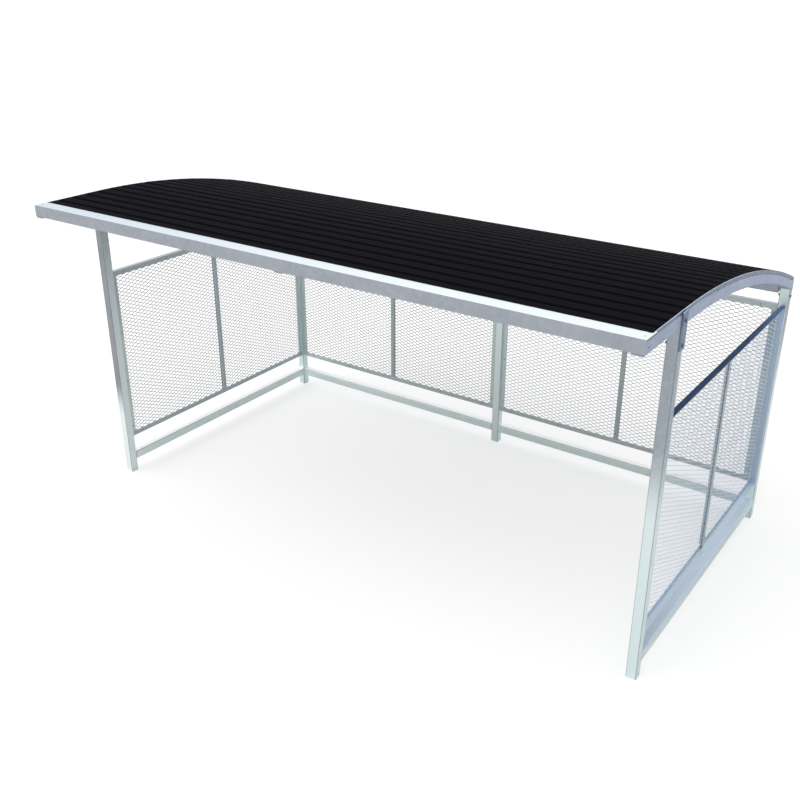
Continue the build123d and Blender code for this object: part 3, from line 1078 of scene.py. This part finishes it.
@dataclass
class Fixings:
    """Screws of the panels and fascia, weld beads, and the inserts that close the arches' front ends.

    Each set of screws, and all the beads, are joined into one piece. Screws of a panel stand at the given heights on
    its stiles and mullion, and at the given stations, counted from its middle, on its level legs.
    """

    workshop: Workshop
    head_radius: float = 4.5 * MM
    head_height: float = 3.0 * MM
    lip_head_height: float = 1.0 * MM
    head_corners: int = 12
    head_taper: float = 0.7
    recess_rim: float = 0.3
    recess_depth: float = 0.5
    sunk: float = 0.2 * MM
    leg_middle: float = 17.5 * MM
    heights: tuple[float, ...] = (0.354, 0.713, 1.091, 1.451)
    stations: tuple[float, ...] = (-0.865, -0.469, 0.469, 0.865)
    web_screw_y: float = -1.2
    web_screw_height: float = 2.052
    lip_screws_x: tuple[float, ...] = (-2.01, 2.01)
    lip_screws_y: tuple[float, ...] = (-1.203, -1.157)
    bead_radius: float = 2.2 * MM
    bead_corners: int = 8
    bead_taper: float = 0.8
    ripple: float = 4.0 * MM
    bead_ripples: int = 11
    insert_width: float = 53.6 * MM
    insert_thickness: float = 3.0 * MM
    insert_round: float = 1.0 * MM
    insert_inset: float = 4.0 * MM
    arch_half: float = 30.0 * MM

    def screw_head(self, height: float) -> bpy.types.Object:
        """Models a pan head, standing on the origin along Z.

        Args:
            height: Height of the head in metres.

        Returns:
            The head, with its foot sunk a little.
        """
        deselect_all()
        bpy.ops.mesh.primitive_cone_add(
            vertices=self.head_corners,
            radius1=self.head_radius,
            radius2=self.head_radius * self.head_taper,
            depth=height + self.sunk,
            location=(0, 0, (height - self.sunk) / 2),
        )
        head = bpy.context.object
        settle(head)
        for face in head.data.polygons:
            face.select = face.normal.z > SQUARE_ON
        # Known fault: edit mode opens by vertices for the first head, so all of it is selected here, and instead of
        # a drive recess it gets a second shell sunk below it. The flat heads, made later, have their recess.
        bpy.ops.object.mode_set(mode="EDIT")
        bpy.ops.mesh.select_mode(type="FACE")
        bpy.ops.mesh.inset(thickness=self.head_radius * self.recess_rim)
        bpy.ops.mesh.extrude_region_move(TRANSFORM_OT_translate={"value": (0, 0, -self.recess_depth * height)})
        bpy.ops.object.mode_set(mode="OBJECT")
        return head

    def bead(self) -> bpy.types.Object:
        """Models a weld bead of overlapping ripples.

        Returns:
            The bead, centred on the origin along Z.
        """
        deselect_all()
        bpy.ops.mesh.primitive_cone_add(
            vertices=self.bead_corners,
            radius1=self.bead_radius,
            radius2=self.bead_radius * self.bead_taper,
            depth=self.ripple,
        )
        bead = bpy.context.object
        array_along(bead, self.bead_ripples, Vector((0, 0, self.ripple)), merge=False)
        bead.location.z = -self.ripple * (self.bead_ripples - 1) / 2
        settle(bead)
        return bead

    def spread(
        self, pattern: bpy.types.Object, places: list[tuple[Vector, Vector]], name: str, slot: str, finish: Finish
    ) -> None:
        """Sets copies of a pattern and joins them into one piece.

        Args:
            pattern: Object along Z at the origin.
            places: Point and direction of each copy.
            name: Name of the joined piece.
            slot: Material slot of the record; not used.
            finish: Finish of the piece.
        """
        copies = []
        for point, way in places:
            copy = copy_piece(pattern, name)
            copy.rotation_euler = way.to_track_quat("Z", "Y").to_euler()
            copy.location = point
            settle(copy)
            copies.append(copy)
        piece = join_pieces(copies, name)
        dress(piece, self.workshop.material(finish))
        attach(piece, "root")
        LOG.info("%s: %d copies, %d faces", name, len(places), len(piece.data.polygons))

    def panel_screws(self, panel: str) -> list[tuple[Vector, Vector]]:
        """Finds the screws of one panel, on the inner faces of its stiles, mullion and level legs.

        Args:
            panel: Name of the panel.

        Returns:
            Point and direction of each screw head.
        """
        low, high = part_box(f"{panel}_panel_frame")
        bar_low, bar_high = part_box(f"{panel}_panel_mullion")
        inward = INWARD[panel]
        along, across = (1, 0) if inward.x else (0, 1)
        middle = (low + high) / 2
        frame_face = high[across] if inward[across] > 0 else low[across]
        bar_face = bar_high[across] if inward[across] > 0 else bar_low[across]
        places = []
        for height in self.heights:
            for offset, face in (
                (low[along] + self.leg_middle, frame_face),
                (high[along] - self.leg_middle, frame_face),
                (middle[along], bar_face),
            ):
                point = Vector((0, 0, height))
                point[along], point[across] = offset, face
                places.append((point, inward))
        for station in self.stations:
            for height in (low.z + self.leg_middle, high.z - self.leg_middle):
                point = Vector((0, 0, height))
                point[along], point[across] = middle[along] + station, frame_face
                places.append((point, inward))
        return places

    def outer_screws(self) -> list[tuple[Vector, Vector]]:
        """Finds the screws that show on the outside of the side panels' mullions and of the outer arches' webs.

        Returns:
            Point and direction of each screw head.
        """
        places = []
        for panel, sign in (("left", -1), ("right", 1)):
            low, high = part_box(f"{panel}_panel_mullion")
            outward = Vector((sign, 0, 0))
            face = high.x if sign > 0 else low.x
            for height in self.heights:
                places.append((Vector((face, (low.y + high.y) / 2, height)), outward))
            web_low, web_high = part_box(f"{panel}_roof_arch")
            web = web_high.x if sign > 0 else web_low.x
            places.append((Vector((web, self.web_screw_y, self.web_screw_height)), outward))
        return places

    def lip_screws(self) -> list[tuple[Vector, Vector]]:
        """Finds the flat screws in the fascia's top lip over the outer arches.

        Returns:
            Point and direction of each screw head.
        """
        up = Vector((0, 0, 1))
        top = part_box("front_fascia")[1].z
        return [(Vector((x, y, top)), up) for x in self.lip_screws_x for y in self.lip_screws_y]

    def beads(self) -> list[tuple[Vector, Vector]]:
        """Finds the weld beads of rails against posts and of posts against arches.

        Returns:
            Middle and direction of each bead.
        """
        places = []
        for rail in ("left", "right"):
            low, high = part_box(f"{rail}_bottom_rail")
            for y in (low.y, high.y):
                for z in (low.z, high.z):
                    places.append((Vector(((low.x + high.x) / 2, y, z)), Vector((1, 0, 0))))
        for rail in ("rear_left", "rear_right"):
            low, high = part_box(f"{rail}_bottom_rail")
            for x in (low.x, high.x):
                for z in (low.z, high.z):
                    places.append((Vector((x, (low.y + high.y) / 2, z)), Vector((0, 1, 0))))
        for post in ("front_left", "front_right", "rear_left", "rear_middle", "rear_right"):
            low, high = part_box(f"{post}_post")
            places.append((Vector(((low.x + high.x) / 2, low.y, high.z)), Vector((1, 0, 0))))
        return places

    def end_inserts(self) -> None:
        """Models the inserts in the open front ends of the arches."""
        for arch in ("left", "middle", "right"):
            low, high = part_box(f"{arch}_roof_arch")
            deselect_all()
            bpy.ops.mesh.primitive_cube_add(
                size=1.0, location=((low.x + high.x) / 2, low.y + self.insert_inset, high.z - self.arch_half)
            )
            insert = bpy.context.object
            insert.scale = (self.insert_width, self.insert_thickness, self.insert_width)
            settle(insert)
            bevel = insert.modifiers.new("round", "BEVEL")
            bevel.width = self.insert_round
            bevel.segments = 2
            bpy.ops.object.modifier_apply(modifier=bevel.name)
            insert.name = f"{arch}_arch_insert"
            dress(insert, self.workshop.material(Finish.FASCIA))
            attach(insert, "root")
            LOG.info("%s: %d faces", insert.name, len(insert.data.polygons))

    def build(self) -> None:
        """Adds all fixings."""
        head = self.screw_head(self.head_height)
        for panel in INWARD:
            self.spread(head, self.panel_screws(panel), f"{panel}_panel_screws", "bolts", Finish.BOLTS)
        self.spread(head, self.outer_screws(), "outer_screws", "bolts", Finish.BOLTS)
        flat_head = self.screw_head(self.lip_head_height)
        self.spread(flat_head, self.lip_screws(), "fascia_lip_screws", "bolts", Finish.BOLTS)
        bead = self.bead()
        self.spread(bead, self.beads(), "weld_beads", "frame_tube", Finish.TUBE)
        for pattern in (head, flat_head, bead):
            bpy.data.objects.remove(pattern)
        self.end_inserts()


@dataclass
class Studio:
    """Pale floor, soft light from all round with a wide key lamp from above, and the camera.

    To the camera the floor is glow plus a matt share that keeps the shelter's soft shadow, about white in all. As a
    source of light it is plain matt paint. The sky lights the shelter at sky_light, and camera and gloss see it
    at seen_sky.
    """

    floor_size: float = 240.0
    floor_colour: str = "#f2f2f2"
    floor_glow: float = 0.64
    floor_shade: float = 0.47
    sky_light: float = 0.68
    seen_sky: float = 1.0
    key_strength: float = 1.3
    key_angle: float = math.radians(60)
    key_turn: tuple[float, float, float] = (math.radians(32), math.radians(-26), 0.0)
    camera_place: tuple[float, float, float] = (3.355145, -4.907760, 3.572726)
    camera_turn: tuple[float, float, float] = (1.1359772, 0.0, 0.6116584)
    lens: float = 43.818
    sensor_width: float = 36.0
    clip_end: float = 400.0

    def floor(self) -> None:
        """Adds the floor."""
        deselect_all()
        bpy.ops.mesh.primitive_plane_add(size=self.floor_size, location=(0, 0, 0))
        floor = bpy.context.object
        floor.name = "studio_floor"
        material, tree = new_material("matt_studio_floor")
        rays = add_node(tree, "ShaderNodeLightPath")
        matt = add_node(tree, "ShaderNodeBsdfDiffuse", inputs={"Color": linear(self.floor_colour)})
        shaded = add_node(tree, "ShaderNodeBsdfDiffuse", inputs={"Color": (self.floor_shade,) * 3 + (1.0,)})
        glow = add_node(tree, "ShaderNodeEmission", inputs={"Strength": self.floor_glow})
        seen = add_node(tree, "ShaderNodeAddShader", inputs={0: glow.outputs[0], 1: shaded.outputs[0]})
        both = add_node(
            tree,
            "ShaderNodeMixShader",
            inputs={0: rays.outputs["Is Camera Ray"], 1: matt.outputs[0], 2: seen.outputs[0]},
        )
        add_node(tree, "ShaderNodeOutputMaterial", inputs={"Surface": both.outputs[0]})
        dress(floor, material)

    def light(self) -> None:
        """Adds the world and a wide key lamp."""
        world = bpy.data.worlds.new("soft_studio")
        bpy.context.scene.world = world
        world.use_nodes = True
        tree = world.node_tree
        tree.nodes.clear()
        rays = add_node(tree, "ShaderNodeLightPath")
        seen = add_node(
            tree,
            "ShaderNodeMath",
            {"operation": "MAXIMUM"},
            {0: rays.outputs["Is Camera Ray"], 1: rays.outputs["Is Glossy Ray"]},
        )
        level = add_node(
            tree,
            "ShaderNodeMapRange",
            inputs={"Value": seen.outputs[0], "To Min": self.sky_light, "To Max": self.seen_sky},
        )
        sky = add_node(
            tree, "ShaderNodeBackground", inputs={"Color": (1, 1, 1, 1), "Strength": level.outputs[0]}
        )
        add_node(tree, "ShaderNodeOutputWorld", inputs={"Surface": sky.outputs[0]})
        lamp = bpy.data.lights.new("key", "SUN")
        lamp.energy = self.key_strength
        lamp.angle = self.key_angle
        key = bpy.data.objects.new("key", lamp)
        key.rotation_euler = self.key_turn
        bpy.context.scene.collection.objects.link(key)

    def camera(self) -> None:
        """Adds the camera where the photograph was taken from."""
        data = bpy.data.cameras.new("photo_view")
        data.lens = self.lens
        data.sensor_width = self.sensor_width
        data.clip_end = self.clip_end
        camera = bpy.data.objects.new("photo_view", data)
        camera.location = self.camera_place
        camera.rotation_euler = self.camera_turn
        bpy.context.scene.collection.objects.link(camera)
        bpy.context.scene.camera = camera

    def build(self) -> None:
        """Adds camera, floor and light."""
        self.camera()
        self.floor()
        self.light()
        bpy.context.scene.view_settings.view_transform = "Standard"
        LOG.info("studio ready")


def main() -> None:
    """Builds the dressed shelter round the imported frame."""
    logging.basicConfig(level=logging.INFO, format="%(name)s: %(message)s")
    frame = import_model()
    workshop = Workshop()
    Studio().build()
    SteelFrame(workshop, frame["nodes"], frame["record"]["subparts"]).build()
    ExpandedMetal(workshop).build()
    Fixings(workshop).build()


if __name__ == "__main__":
    main()
